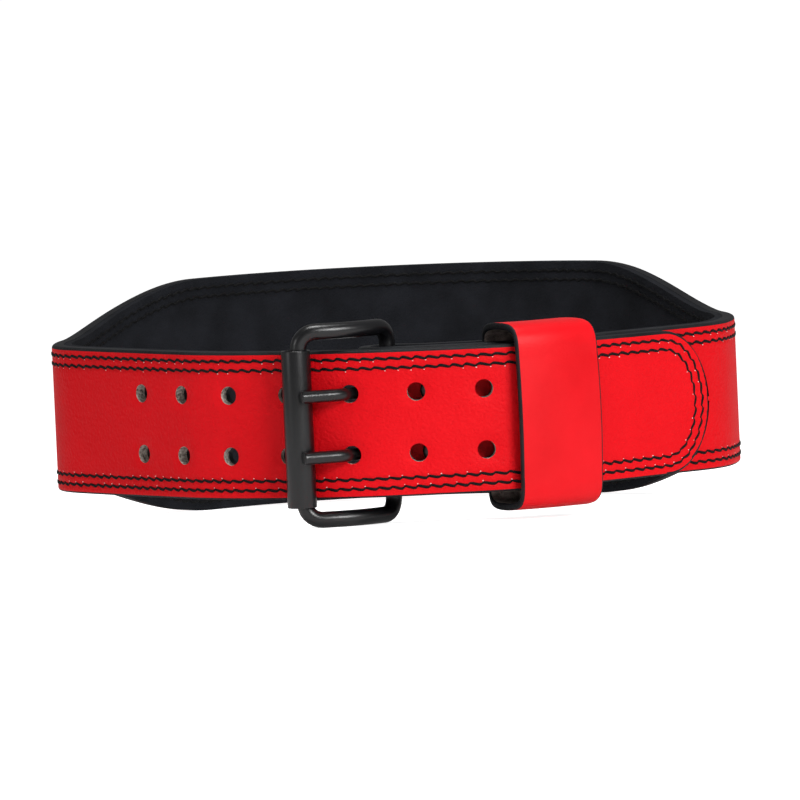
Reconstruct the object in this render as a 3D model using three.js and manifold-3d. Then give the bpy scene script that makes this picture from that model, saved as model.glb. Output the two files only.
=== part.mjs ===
// A weightlifting belt, fastened. One long strip of thick red leather, lined with black suede,
// widens into a panel at the back. Its right end folds round the buckle's bar and is riveted;
// its left end passes under the buckle's roller, over the fold and through the keeper.
// Lengths are in millimetres. The belt is drawn upright, with X to the right, Y away from the
// front and Z up, and is then tipped forward until it stands by itself.
import * as THREE from 'three';
import { mergeVertices } from 'three/addons/utils/BufferGeometryUtils.js';
import Module from 'manifold-3d';

const wasm = await Module();
wasm.setup();

// The strip
const LOOP_LENGTH = 862;
const STRAP_WIDTH = 63;
const TIP_WIDTH = 61.4;
const PANEL_WIDTH = 101.6;
const PANEL_HALF_LENGTH = 98;
const PANEL_TAPER = 100;
const PANEL_SHIFT = 16;
const LEATHER = 5;
const GLUE_LINE = 0.3;
const SUEDE = 3.2;
const LAMINATE = LEATHER + GLUE_LINE + SUEDE;
const EDGE_BEVEL = 0.8;
const CLEARANCE = 0.3;
const STATION_STEP = 8;
const FOLD_STEPS = 10;

// The tail, which lies over the strap, and the holes punched along it
const TAIL_REACH = 161;
const TIP_ROUNDING = 24;
const TIP_END_FLAT = 0.06;
const TIP_GAP = 1;
const TIP_LIES_FLAT = 44;
const HOLE_DIAMETER = 7.8;
const HOLE_SIDES = 14;
const HOLE_PITCH = 27.4;
const HOLE_ROWS = 26;
const HOLES_BEFORE_PRONG = 4;
const HOLES_AFTER_PRONG = 2;
const PRONG_HOLE_AT = -3.8;

// The buckle
const BAR_AT = 10.8;
const WIRE = 7;
const BAR_FIT = 0.4;
const FRAME_HEIGHT = 87;
const FRAME_CORNER = 7;
const FRAME_BOW = 5;
const FRAME_STEPS = 60;
const WIRE_SIDES = 10;
const RIM_EASE = 0.5;
const ROLLER_AT = -24.6;
const ROLLER_LENGTH = 67;
const ROLLER_SIDES = 20;
const ROLLER_DIAMETER = 12.5;
const ROLLER_BORE = 10.4;
const ROLLER_HANGS_LEFT = 1.1;
const ROLLER_HANGS_OUT = 0.5;
const ROLLER_SEAT = 0.45;
const ROLLER_DROP = 1;
const STRIP_SINKS_BY = -75;
const PRONG_WIRE = 5.4;
const PRONG_SLOPE = 35.5;
const PRONG_OVERHANG = 2.2;
const PRONG_CLEARS_FACE = 2;
const PRONG_STEPS = 16;
const PRONG_EYE_WALL = 3;
const PRONG_EYE_HEIGHT = 6.4;
const PRONG_EYE_SIDES = 16;
const PRONG_HOLE_WEAR = 0.35;
const SLOT_HEIGHT = 8;
const SLOT_PAST_BAR = 1;

// The fold, its rivets and the keeper that it traps
const FOLD_END_AT = 105;
const RIVET_COLUMNS = [31, 95];
const RIVET_HEAD = 12;
const RIVET_HEAD_THICKNESS = 1.5;
const RIVET_DOME = 0.72;
const RIVET_RIM = 0.6;
const RIVET_SHANK = 5;
const RIVET_SIDES = 14;
const RIVET_HOLE_SIDES = 10;
const KEEPER_AT = 71;
const KEEPER_SKEW = 8;
const KEEPER_BAND = 34;
const KEEPER_LEATHER = 3;
const KEEPER_HEIGHT = 80;
const KEEPER_SLACK = 4;
const KEEPER_BULGE = 2;
const KEEPER_CREST = 0.5;
const KEEPER_BROW = 0.66;
const KEEPER_SHOULDER = 0.94;
const KEEPER_POINTS = 40;
const KEEPER_STEPS = 5;

// What follows from the sizes above
const TAIL_GAP = RIVET_HEAD_THICKNESS + 2 * CLEARANCE;
const KEEPER_SPACE = KEEPER_LEATHER + 2 * CLEARANCE;
const FOLD_INSIDE = WIRE / 2 + BAR_FIT;
const FOLD_OUTSIDE = FOLD_INSIDE + LAMINATE;
const BAR_OUT = -FOLD_OUTSIDE;

// Half of the loop seen from above, from the middle of the front round to the middle of the back.
// A radius is a share of the loop's length and a turn is in degrees; the last radius closes the loop.
const LOOP_ARCS = [
  { stretch: 'front', radius: 0.287, turn: 11.1 },
  { stretch: 'front shoulder', radius: 0.0747, turn: 31.7 },
  { stretch: 'flank', radius: 1.387, turn: 3.8 },
  { stretch: 'side', radius: 0.0499, turn: 36.7 },
  { stretch: 'rear side', radius: 0.1373, turn: 39.2 },
  { stretch: 'rear flank', radius: 0.3077, turn: 10.3 },
  { stretch: 'rear shoulder', radius: 0.1454, turn: 30.1 },
  { stretch: 'back', radius: null, turn: 17.1 },
];

// A prong's shank between its eye on the bar and its hole: `along` is a share of the way from bar
// to hole and `out` a share of the rise from the eye's top to the strip's middle
const PRONG_BEND = [
  { along: 0, out: 0 },
  { along: 0.31, out: 0.035 },
  { along: 0.5, out: 0.2 },
  { along: 0.79, out: 0.565 },
  { along: 1.007, out: 0.99 },
];

function measuredArcs() {
  let turned = 0;
  let across = 0;
  const arcs = LOOP_ARCS.map(({ radius, turn }) => {
    const start = THREE.MathUtils.degToRad(turned);
    turned += turn;
    const end = THREE.MathUtils.degToRad(turned);
    const reach = Math.sin(end) - Math.sin(start);
    const closing = radius === null ? -across / reach : radius;
    across += closing * reach;
    return { start, end, radius: closing };
  });
  const halfLength = arcs.reduce((sum, arc) => sum + arc.radius * (arc.end - arc.start), 0);
  const scale = LOOP_LENGTH / 2 / halfLength;
  let along = 0;
  let x = 0;
  let y = 0;
  for (const arc of arcs) {
    arc.radius *= scale;
    Object.assign(arc, { along, x, y });
    along += arc.radius * (arc.end - arc.start);
    x += arc.radius * (Math.sin(arc.end) - Math.sin(arc.start));
    y -= arc.radius * (Math.cos(arc.end) - Math.cos(arc.start));
  }
  return { arcs, depth: y };
}

const loop = measuredArcs();

// The point that lies `along` the strap's outer face from the middle of the front, to the right,
// `out` from that face and `up` from the strap's middle line
function spot(along, out = 0, up = 0) {
  const wrapped = along - LOOP_LENGTH * Math.round(along / LOOP_LENGTH);
  const side = wrapped < 0 ? -1 : 1;
  const run = Math.abs(wrapped);
  const arc = loop.arcs.findLast((candidate) => candidate.along <= run);
  const heading = arc.start + (run - arc.along) / arc.radius;
  const x = arc.x + arc.radius * (Math.sin(heading) - Math.sin(arc.start));
  const y = arc.y - arc.radius * (Math.cos(heading) - Math.cos(arc.start));
  return new THREE.Vector3(
    side * (x + out * Math.sin(heading)),
    y - out * Math.cos(heading) - loop.depth / 2,
    up,
  );
}

const smoothstep = (t) => t * t * (3 - 2 * t);

// Reads a short table of { at, value } rows, easing from each row to the next
function eased(rows, at) {
  const after = rows.findIndex((row) => row.at >= at);
  if (after === 0) return rows[0].value;
  if (after < 0) return rows[rows.length - 1].value;
  const from = rows[after - 1];
  const to = rows[after];
  return from.value + (to.value - from.value) * smoothstep((at - from.at) / (to.at - from.at));
}

// How far the outer face of the strip's left end stands out: it rises from the left under the
// roller, lies over the fold and the rivets, and comes down on the strap at its tip
const TAIL_FACE = [
  { at: STRIP_SINKS_BY, value: 0 },
  { at: BAR_AT, value: TAIL_GAP + LAMINATE },
  { at: TAIL_REACH - TIP_LIES_FLAT, value: TAIL_GAP + LAMINATE },
  { at: TAIL_REACH, value: TIP_GAP + LAMINATE },
];

// The space between the strap and the end that is folded back inside it
const FOLD_GAP = [
  { at: BAR_AT, value: 2 * FOLD_INSIDE },
  { at: RIVET_COLUMNS[0] - RIVET_HEAD / 2, value: KEEPER_SPACE },
];

const tailFace = (along) => eased(TAIL_FACE, along);
const foldFace = (along) => -LAMINATE - eased(FOLD_GAP, along) - LAMINATE;

// Half the strip's width: the panel's, the strap's, or narrowing a little to the tail's tip
function panelHalfWidth(along) {
  const middle = LOOP_LENGTH / 2 - PANEL_SHIFT;
  const offset = Math.abs((((along + middle) % LOOP_LENGTH) + LOOP_LENGTH) % LOOP_LENGTH);
  const fromMiddle = Math.min(offset, LOOP_LENGTH - offset);
  return eased(
    [
      { at: PANEL_HALF_LENGTH, value: PANEL_WIDTH / 2 },
      { at: PANEL_HALF_LENGTH + PANEL_TAPER, value: STRAP_WIDTH / 2 },
    ],
    fromMiddle,
  );
}

function tailHalfWidth(along) {
  const share = THREE.MathUtils.clamp((along - PRONG_HOLE_AT) / (TAIL_REACH - PRONG_HOLE_AT), 0, 1);
  const half = THREE.MathUtils.lerp(STRAP_WIDTH, TIP_WIDTH, share) / 2;
  const intoTip = (along - (TAIL_REACH - TIP_ROUNDING)) / TIP_ROUNDING;
  return intoTip > 0 ? half * Math.sqrt(1 - intoTip * intoTip) : half;
}

// The strip's middle line, from the tail's tip leftwards round the loop to the folded end
function stripStations() {
  const stations = [];
  const middle = LAMINATE / 2;
  const add = (along, out, half) => stations.push({ at: spot(along, out), half });

  const TIP_STEPS = 7;
  for (let i = 0; i < TIP_STEPS; i += 1) {
    const angle = THREE.MathUtils.lerp(TIP_END_FLAT, 1, i / TIP_STEPS) * (Math.PI / 2);
    const along = TAIL_REACH - TIP_ROUNDING * (1 - Math.cos(angle));
    add(along, tailFace(along) - middle, tailHalfWidth(along));
  }
  const tailEnd = TAIL_REACH - TIP_ROUNDING;
  const tailRun = tailEnd - STRIP_SINKS_BY;
  const tailSteps = Math.round(tailRun / STATION_STEP);
  for (let i = 0; i < tailSteps; i += 1) {
    const along = tailEnd - (tailRun * i) / tailSteps;
    add(along, tailFace(along) - middle, tailHalfWidth(along));
  }
  const loopRun = LOOP_LENGTH + STRIP_SINKS_BY - BAR_AT;
  const loopSteps = Math.round(loopRun / STATION_STEP);
  for (let i = 0; i < loopSteps; i += 1) {
    const along = STRIP_SINKS_BY - (loopRun * i) / loopSteps;
    add(along, -middle, panelHalfWidth(along));
  }
  const bar = spot(BAR_AT, BAR_OUT);
  const outward = spot(BAR_AT, 1).sub(spot(BAR_AT));
  const leftward = new THREE.Vector3(outward.y, -outward.x, 0);
  const foldRadius = FOLD_INSIDE + middle;
  for (let i = 0; i <= FOLD_STEPS; i += 1) {
    const angle = (Math.PI * i) / FOLD_STEPS;
    const at = bar.clone().addScaledVector(outward, foldRadius * Math.cos(angle));
    at.addScaledVector(leftward, foldRadius * Math.sin(angle));
    stations.push({ at, half: STRAP_WIDTH / 2 });
  }
  const backRun = FOLD_END_AT - BAR_AT;
  const backSteps = Math.round(backRun / (STATION_STEP / 2));
  for (let i = 1; i <= backSteps; i += 1) {
    const along = BAR_AT + (backRun * i) / backSteps;
    add(along, foldFace(along) + middle, STRAP_WIDTH / 2);
  }
  return stations;
}

// Turns a closed triangle mesh into a solid that can be cut
function solidOf(geometry) {
  geometry.deleteAttribute('normal');
  geometry.deleteAttribute('uv');
  const merged = mergeVertices(geometry);
  const mesh = new wasm.Mesh({
    numProp: 3,
    vertProperties: merged.attributes.position.array,
    triVerts: Uint32Array.from(merged.index.array),
  });
  return new wasm.Manifold(mesh);
}

function geometryOf(solid) {
  const mesh = solid.getMesh();
  const geometry = new THREE.BufferGeometry();
  geometry.setAttribute('position', new THREE.BufferAttribute(mesh.vertProperties, 3));
  geometry.setIndex(new THREE.BufferAttribute(mesh.triVerts, 1));
  geometry.computeVertexNormals();
  return geometry;
}

// A closed body through rings of points; each ring runs anticlockwise seen from the last one
function lofted(rings) {
  const count = rings[0].length;
  const positions = rings.flatMap((ring) => ring.flatMap((point) => point.toArray()));
  const triangles = [];
  for (let i = 0; i + 1 < rings.length; i += 1) {
    for (let j = 0; j < count; j += 1) {
      const next = (j + 1) % count;
      const [a, b] = [i * count + j, i * count + next];
      const [c, d] = [b + count, a + count];
      triangles.push(a, b, c, a, c, d);
    }
  }
  const last = (rings.length - 1) * count;
  for (let j = 1; j + 1 < count; j += 1) {
    triangles.push(0, j + 1, j);
    triangles.push(last, last + j, last + j + 1);
  }
  const geometry = new THREE.BufferGeometry();
  geometry.setAttribute('position', new THREE.Float32BufferAttribute(positions, 3));
  geometry.setIndex(triangles);
  return geometry;
}

// One layer of the strip, between two distances from its middle line, its outer edges bevelled
function stripLayer(stations, back, face, bevel) {
  const rings = stations.map(({ at, half }, i) => {
    const before = stations[Math.max(i - 1, 0)].at;
    const after = stations[Math.min(i + 1, stations.length - 1)].at;
    const travel = after.clone().sub(before).normalize();
    const outward = new THREE.Vector3(-travel.y, travel.x, 0);
    const corners = [[back, -half], [face - bevel, -half], [face, bevel - half]];
    const mirrored = corners.map(([across, up]) => [across, -up]).reverse();
    const section = [...corners, ...mirrored].filter((_, corner) => bevel > 0 || corner % 3 !== 1);
    return section.map(([across, up]) => {
      const point = at.clone().addScaledVector(outward, across);
      point.z += up;
      return point;
    });
  });
  return solidOf(lofted(rings));
}

// Sets a geometry that is drawn with x along the loop, y inward and z up at its place on the loop
function setOnLoop(geometry, along, out, up) {
  const outward = spot(along, 1).sub(spot(along));
  const place = spot(along, out, up);
  return geometry.rotateZ(Math.atan2(outward.x, -outward.y)).translate(place.x, place.y, place.z);
}

function uprightCylinder(radius, height, sides) {
  return new THREE.CylinderGeometry(radius, radius, height, sides).rotateX(Math.PI / 2);
}

// A pin through the strip at a place along it, `from` and `to` being distances out
function throughPin(along, up, radius, from, to, sides) {
  const pin = new THREE.CylinderGeometry(radius, radius, to - from, sides);
  return solidOf(setOnLoop(pin, along, (from + to) / 2, up));
}

const rows = [HOLE_ROWS / 2, -HOLE_ROWS / 2];
const rollerOut = tailFace(ROLLER_AT) + ROLLER_DIAMETER / 2 + ROLLER_SEAT;

// A prong's shank, seen from above: from its eye over the bar it rises through its hole, then
// runs straight and over the roller
function prongRoute(up) {
  const slope = THREE.MathUtils.degToRad(PRONG_SLOPE);
  const reach = (ROLLER_DIAMETER + PRONG_WIRE) / 2 + CLEARANCE;
  const onRoller = {
    along: ROLLER_AT + reach * Math.sin(slope),
    out: rollerOut + reach * Math.cos(slope),
  };
  const online = (run) => ({
    along: onRoller.along + run * Math.cos(slope),
    out: onRoller.out - run * Math.sin(slope),
  });
  const face = tailFace(PRONG_HOLE_AT);
  const eyeTop = BAR_OUT + FOLD_INSIDE + PRONG_WIRE / 2;
  const straightRun = (onRoller.out - face - PRONG_CLEARS_FACE) / Math.sin(slope);
  const bend = PRONG_BEND.map((share) => ({
    along: THREE.MathUtils.lerp(BAR_AT, PRONG_HOLE_AT, share.along),
    out: THREE.MathUtils.lerp(eyeTop, face - LAMINATE / 2, share.out),
  }));
  const route = [
    ...bend,
    online(straightRun),
    online(straightRun / 2),
    online(0),
    online(-PRONG_OVERHANG),
  ];
  return new THREE.CatmullRomCurve3(route.map(({ along, out }) => spot(along, out, up)));
}

function wireAlong(route, diameter, steps, sides) {
  const section = new THREE.Shape();
  for (let i = 0; i < sides; i += 1) {
    const angle = (2 * Math.PI * i) / sides;
    const corner = [(diameter / 2) * Math.cos(angle), (diameter / 2) * Math.sin(angle)];
    if (i === 0) section.moveTo(...corner);
    else section.lineTo(...corner);
  }
  return solidOf(new THREE.ExtrudeGeometry(section, { steps, extrudePath: route, bevelEnabled: false }));
}

// What is cut out of leather and suede alike: the holes, the slots in the fold with room for the
// prongs' eyes, and the rivets' holes
function punches() {
  const cuts = [];
  const margin = TAIL_GAP / 2;
  for (const up of rows) {
    for (let k = -HOLES_BEFORE_PRONG; k <= HOLES_AFTER_PRONG; k += 1) {
      const along = PRONG_HOLE_AT + k * HOLE_PITCH;
      const outside = tailFace(along) + margin;
      const inside = tailFace(along) - LAMINATE - margin;
      cuts.push(throughPin(along, up, HOLE_DIAMETER / 2, inside, outside, HOLE_SIDES));
    }
    for (const along of RIVET_COLUMNS) {
      const radius = RIVET_SHANK / 2 + CLEARANCE;
      cuts.push(throughPin(along, up, radius, foldFace(along) - margin, margin, RIVET_HOLE_SIDES));
    }
    cuts.push(wireAlong(prongRoute(up), PRONG_WIRE + 2 * PRONG_HOLE_WEAR, PRONG_STEPS, WIRE_SIDES));
    cuts.push(foldSlot(up));
    const eyeRoom = uprightCylinder(
      FOLD_INSIDE + PRONG_EYE_WALL + BAR_FIT,
      PRONG_EYE_HEIGHT + 2 * BAR_FIT,
      PRONG_EYE_SIDES,
    );
    cuts.push(solidOf(setOnLoop(eyeRoom, BAR_AT, BAR_OUT, up)));
  }
  return cuts;
}

function foldSlot(up) {
  const reach = FOLD_OUTSIDE + CLEARANCE;
  const outline = new THREE.Shape();
  outline.moveTo(SLOT_PAST_BAR, -reach);
  outline.lineTo(SLOT_PAST_BAR, reach);
  outline.lineTo(0, reach);
  outline.absarc(0, 0, reach, Math.PI / 2, (3 * Math.PI) / 2, false);
  const slot = new THREE.ExtrudeGeometry(outline, {
    depth: SLOT_HEIGHT,
    curveSegments: FOLD_STEPS,
    bevelEnabled: false,
  });
  return solidOf(setOnLoop(slot, BAR_AT, BAR_OUT, up - SLOT_HEIGHT / 2));
}

// The buckle's frame: one round wire bent into a loop with rounded corners, its two short sides
// bowed outward from the bar in the fold to the roller
class FrameLine extends THREE.Curve {
  constructor() {
    super();
    const bar = new THREE.Vector2(BAR_AT, BAR_OUT);
    const roller = new THREE.Vector2(ROLLER_AT + ROLLER_HANGS_LEFT, rollerOut - ROLLER_HANGS_OUT);
    const chord = roller.clone().sub(bar);
    const bow = new THREE.Vector2(chord.y, -chord.x).setLength(2 * FRAME_BOW);
    this.side = new THREE.QuadraticBezierCurve(
      bar,
      bar.clone().add(roller).multiplyScalar(0.5).add(bow),
      roller,
    );
    this.span = this.side.getLength();
    const top = (FRAME_HEIGHT - WIRE) / 2;
    const corner = FRAME_CORNER;
    const outline = new THREE.Path();
    outline.moveTo(0, corner - top);
    outline.lineTo(0, top - corner);
    outline.absarc(corner, top - corner, corner, Math.PI, Math.PI / 2, true);
    outline.lineTo(this.span - corner, top);
    outline.absarc(this.span - corner, top - corner, corner, Math.PI / 2, 0, true);
    outline.lineTo(this.span, corner - top);
    outline.absarc(this.span - corner, corner - top, corner, 0, -Math.PI / 2, true);
    outline.lineTo(corner, -top);
    outline.absarc(corner, corner - top, corner, -Math.PI / 2, -Math.PI, true);
    this.outline = outline;
  }

  getPoint(t) {
    const flat = this.outline.getPoint(t);
    const bent = this.side.getPointAt(THREE.MathUtils.clamp(flat.x / this.span, 0, 1));
    return spot(bent.x, bent.y, flat.y);
  }
}

function buckleFrame() {
  return solidOf(new THREE.TubeGeometry(new FrameLine(), FRAME_STEPS, WIRE / 2, WIRE_SIDES, true));
}

// A ring turned about Z, its outer rims eased
function turnedRing(inner, outer, height, sides) {
  const half = height / 2;
  const profile = [
    [inner, -half],
    [outer - RIM_EASE, -half],
    [outer, RIM_EASE - half],
    [outer, half - RIM_EASE],
    [outer - RIM_EASE, half],
    [inner, half],
    [inner, -half],
  ].map(([radius, level]) => new THREE.Vector2(radius, level));
  return new THREE.LatheGeometry(profile, sides).rotateX(Math.PI / 2);
}

function buckleRoller() {
  return solidOf(turnedRing(ROLLER_BORE / 2, ROLLER_DIAMETER / 2, ROLLER_LENGTH, ROLLER_SIDES));
}

function prong(up) {
  const bar = spot(BAR_AT, BAR_OUT, up).toArray();
  const eyeOutside = FOLD_INSIDE + PRONG_EYE_WALL;
  const eye = turnedRing(FOLD_INSIDE, eyeOutside, PRONG_EYE_HEIGHT, PRONG_EYE_SIDES);
  const bore = uprightCylinder(FOLD_INSIDE, PRONG_EYE_HEIGHT * 2, PRONG_EYE_SIDES);
  const shank = wireAlong(prongRoute(up), PRONG_WIRE, PRONG_STEPS, WIRE_SIDES);
  return solidOf(eye).translate(bar).add(shank).subtract(solidOf(bore).translate(bar));
}

// A rivet: a low domed head on the strap, a shank through both layers and a like head inside
function rivet(along, up) {
  const seat = CLEARANCE;
  const face = seat + RIVET_HEAD_THICKNESS;
  const inside = foldFace(along) - 2 * seat;
  const back = inside - RIVET_HEAD_THICKNESS;
  const dome = RIVET_DOME * (RIVET_HEAD / 2);
  const rim = RIVET_RIM * RIVET_HEAD_THICKNESS;
  const profile = [
    [0, back],
    [dome, back],
    [RIVET_HEAD / 2, back + rim],
    [RIVET_HEAD / 2, inside],
    [RIVET_SHANK / 2, inside],
    [RIVET_SHANK / 2, seat],
    [RIVET_HEAD / 2, seat],
    [RIVET_HEAD / 2, face - rim],
    [dome, face],
    [0, face],
  ].map(([radius, level]) => new THREE.Vector2(radius, level));
  const geometry = new THREE.LatheGeometry(profile, RIVET_SIDES).rotateX(Math.PI);
  return setOnLoop(geometry, along, 0, up);
}

// The keeper: a band of leather closed round strap and tail, its back caught in the fold, flat
// there, and its front bulging and pushed a little to the right
function keeper() {
  const backOut = -LAMINATE - CLEARANCE - KEEPER_LEATHER / 2;
  const faceOut = tailFace(KEEPER_AT) + KEEPER_SLACK + KEEPER_LEATHER / 2;
  const frontOut = faceOut + KEEPER_BULGE;
  const top = (KEEPER_HEIGHT - KEEPER_LEATHER) / 2;
  const crest = THREE.MathUtils.lerp(backOut, faceOut, KEEPER_CREST);
  const brow = top * KEEPER_BROW;
  const shoulder = top * KEEPER_SHOULDER;
  const flat = STRAP_WIDTH / 2;
  const outline = new THREE.Path();
  outline.moveTo(backOut, -flat);
  outline.lineTo(backOut, flat);
  outline.quadraticCurveTo(backOut, top, crest, top);
  outline.bezierCurveTo(faceOut - KEEPER_BULGE, top, faceOut, shoulder, faceOut, brow);
  outline.quadraticCurveTo(frontOut, 0, faceOut, -brow);
  outline.bezierCurveTo(faceOut, -shoulder, faceOut - KEEPER_BULGE, -top, crest, -top);
  outline.quadraticCurveTo(backOut, -top, backOut, -flat);
  const middle = outline.getSpacedPoints(KEEPER_POINTS).slice(0, KEEPER_POINTS);
  const around = (i) => middle[(i + KEEPER_POINTS) % KEEPER_POINTS];
  const offset = (i, distance) => {
    const travel = around(i + 1).clone().sub(around(i - 1)).normalize();
    return { out: middle[i].x - travel.y * distance, up: middle[i].y + travel.x * distance };
  };
  const positions = [];
  for (let step = 0; step <= KEEPER_STEPS; step += 1) {
    const across = (step / KEEPER_STEPS - 0.5) * KEEPER_BAND;
    for (const distance of [KEEPER_LEATHER / 2, -KEEPER_LEATHER / 2]) {
      for (let i = 0; i < KEEPER_POINTS; i += 1) {
        const { out, up } = offset(i, distance);
        const forward = THREE.MathUtils.clamp((out - backOut) / (frontOut - backOut), 0, 1);
        const along = KEEPER_AT + across + KEEPER_SKEW * smoothstep(forward);
        positions.push(...spot(along, out, up).toArray());
      }
    }
  }
  const triangles = [];
  const quad = (a, b, c, d) => triangles.push(a, b, c, a, c, d);
  const last = KEEPER_STEPS;
  const id = (step, layer, i) => (step * 2 + layer) * KEEPER_POINTS + (i % KEEPER_POINTS);
  for (let i = 0; i < KEEPER_POINTS; i += 1) {
    for (let step = 0; step < KEEPER_STEPS; step += 1) {
      quad(id(step, 0, i), id(step, 0, i + 1), id(step + 1, 0, i + 1), id(step + 1, 0, i));
      quad(id(step, 1, i + 1), id(step, 1, i), id(step + 1, 1, i), id(step + 1, 1, i + 1));
    }
    quad(id(0, 1, i), id(0, 1, i + 1), id(0, 0, i + 1), id(0, 0, i));
    quad(id(last, 0, i), id(last, 0, i + 1), id(last, 1, i + 1), id(last, 1, i));
  }
  const geometry = new THREE.BufferGeometry();
  geometry.setAttribute('position', new THREE.Float32BufferAttribute(positions, 3));
  geometry.setIndex(triangles);
  return geometry;
}

const redLeather = { color: 0xd3141c, roughness: 0.45, metalness: 0 };
const blackSuede = { color: 0x15161a, roughness: 0.95, metalness: 0 };
const blackMetal = { color: 0x1c1c1e, roughness: 0.4, metalness: 0.7 };

const belt = new THREE.Group();

function addPiece(name, geometry, finish) {
  const mesh = new THREE.Mesh(geometry, new THREE.MeshStandardMaterial(finish));
  mesh.name = name;
  belt.add(mesh);
  return mesh;
}

const stations = stripStations();
const cuts = wasm.Manifold.union(punches());
const leatherBack = LAMINATE / 2 - LEATHER;
const leather = stripLayer(stations, leatherBack, LAMINATE / 2, EDGE_BEVEL).subtract(cuts);
const suede = stripLayer(stations, -LAMINATE / 2, leatherBack - GLUE_LINE, 0).subtract(cuts);
addPiece('belt_leather', geometryOf(leather), redLeather);
addPiece('suede_lining', geometryOf(suede), blackSuede);
addPiece('buckle_frame', geometryOf(buckleFrame()), blackMetal);
const roller = addPiece('buckle_roller', geometryOf(buckleRoller()), blackMetal);
roller.position.copy(spot(ROLLER_AT, rollerOut, -ROLLER_DROP));
addPiece('prong_upper', geometryOf(prong(rows[0])), blackMetal);
addPiece('prong_lower', geometryOf(prong(rows[1])), blackMetal);
addPiece('keeper', keeper(), redLeather);
RIVET_COLUMNS.forEach((along, column) => {
  rows.forEach((up, row) => {
    addPiece(`rivet_${2 * column + row + 1}`, rivet(along, up), blackMetal);
  });
});

// The belt stands on the lower edge of its back panel and on the buckle's lower side. Tipping it
// forward until both are as low gives the angle at which it rests.
function lowest(tilt, isFront) {
  let low = Infinity;
  const point = new THREE.Vector3();
  belt.rotation.x = tilt;
  belt.updateMatrixWorld(true);
  for (const mesh of belt.children) {
    const positions = mesh.geometry.attributes.position;
    for (let i = 0; i < positions.count; i += 1) {
      point.fromBufferAttribute(positions, i).applyMatrix4(mesh.matrixWorld);
      if (point.y < 0 === isFront) low = Math.min(low, point.z);
    }
  }
  return low;
}

function restTilt() {
  let level = 0;
  let steep = THREE.MathUtils.degToRad(15);
  for (let i = 0; i < 24; i += 1) {
    const tilt = (level + steep) / 2;
    if (lowest(tilt, true) > lowest(tilt, false)) level = tilt;
    else steep = tilt;
  }
  return (level + steep) / 2;
}

belt.rotation.x = restTilt();
const box = new THREE.Box3().setFromObject(belt, true);
belt.position.set(-(box.min.x + box.max.x) / 2, -(box.min.y + box.max.y) / 2, -box.min.z);

const standing = new THREE.Group();
standing.add(belt);
export default standing;
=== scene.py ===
# A weightlifting belt, fastened and standing on its back panel's lower edge and its buckle. Its
# pieces are worked out in millimetres, upright, with X to the right and Y away from the buckle's
# side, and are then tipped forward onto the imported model.
import math

import bmesh
import bpy
import numpy as np
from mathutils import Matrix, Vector


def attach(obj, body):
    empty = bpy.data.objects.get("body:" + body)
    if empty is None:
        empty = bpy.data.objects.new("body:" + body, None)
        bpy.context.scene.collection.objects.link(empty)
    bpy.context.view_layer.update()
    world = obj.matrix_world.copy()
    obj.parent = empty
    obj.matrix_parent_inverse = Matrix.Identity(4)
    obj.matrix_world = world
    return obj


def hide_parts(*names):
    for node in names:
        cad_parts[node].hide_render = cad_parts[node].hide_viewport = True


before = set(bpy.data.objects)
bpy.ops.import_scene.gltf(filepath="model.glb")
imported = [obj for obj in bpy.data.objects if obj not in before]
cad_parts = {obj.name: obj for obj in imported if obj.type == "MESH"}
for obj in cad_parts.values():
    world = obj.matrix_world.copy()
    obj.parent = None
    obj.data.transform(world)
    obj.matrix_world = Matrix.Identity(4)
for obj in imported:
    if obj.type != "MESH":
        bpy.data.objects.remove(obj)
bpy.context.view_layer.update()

# The strip: one length of thick red leather with a black suede lining glued and sewn to its back.
# It is skived and painted at the edges, widens into the back panel, folds round the buckle's bar
# at one end and is rounded off at the other.
LOOP = 862.0
STRAP_WIDTH = 63.0
TIP_WIDTH = 61.4
PANEL_WIDTH = 101.6
PANEL_HALF_LENGTH = 98.0
PANEL_TAPER = 100.0
PANEL_SHIFT = 16.0
LEATHER = 5.0
LAMINATE = 8.5
PRONG_HOLE_AT = -3.8
TAIL_REACH = 161.0
TIP_ROUNDING = 24.0
TIP_GAP = 1.0
TIP_LIES_FLAT = 44.0
STRIP_SINKS_BY = -75.0
TAIL_GAP = 2.1
BAR_AT = 10.8
WIRE = 7.0
BAR_CLEARANCE = 0.4
FOLD_INSIDE = WIRE / 2 + BAR_CLEARANCE
FOLD_OUTSIDE = FOLD_INSIDE + LAMINATE
FOLD_END_AT = 105.0
FOLD_CLOSES_AT = 25.0
KEEPER_SPACE = 3.6
STATION_STEP = 2.0
TIP_STEPS = 22
TIP_OPENS = 0.03
FOLD_STEPS = 16
TILT = math.radians(1.9206)
STANDS_AT = np.array([0.0, 11.146, 48.120])

# Half of the loop seen from above: radius as a share of the loop, and turn in degrees
LOOP_ARCS = [
    ("front", 0.287, 11.1),
    ("front shoulder", 0.0747, 31.7),
    ("flank", 1.387, 3.8),
    ("side", 0.0499, 36.7),
    ("rear side", 0.1373, 39.2),
    ("rear flank", 0.3077, 10.3),
    ("rear shoulder", 0.1454, 30.1),
    ("back", None, 17.1),
]


def measured_arcs():
    turned = across = 0.0
    arcs = []
    for _, share, turn in LOOP_ARCS:
        start = math.radians(turned)
        turned += turn
        end = math.radians(turned)
        reach = math.sin(end) - math.sin(start)
        radius = -across / reach if share is None else share
        across += radius * reach
        arcs.append([start, end, radius])
    scale = LOOP / 2 / sum(radius * (end - start) for start, end, radius in arcs)
    along = x = y = 0.0
    measured = []
    for start, end, radius in arcs:
        radius *= scale
        measured.append((start, radius, along, x, y))
        along += radius * (end - start)
        x += radius * (math.sin(end) - math.sin(start))
        y -= radius * (math.cos(end) - math.cos(start))
    return measured, y


ARCS, LOOP_DEPTH = measured_arcs()


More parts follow.
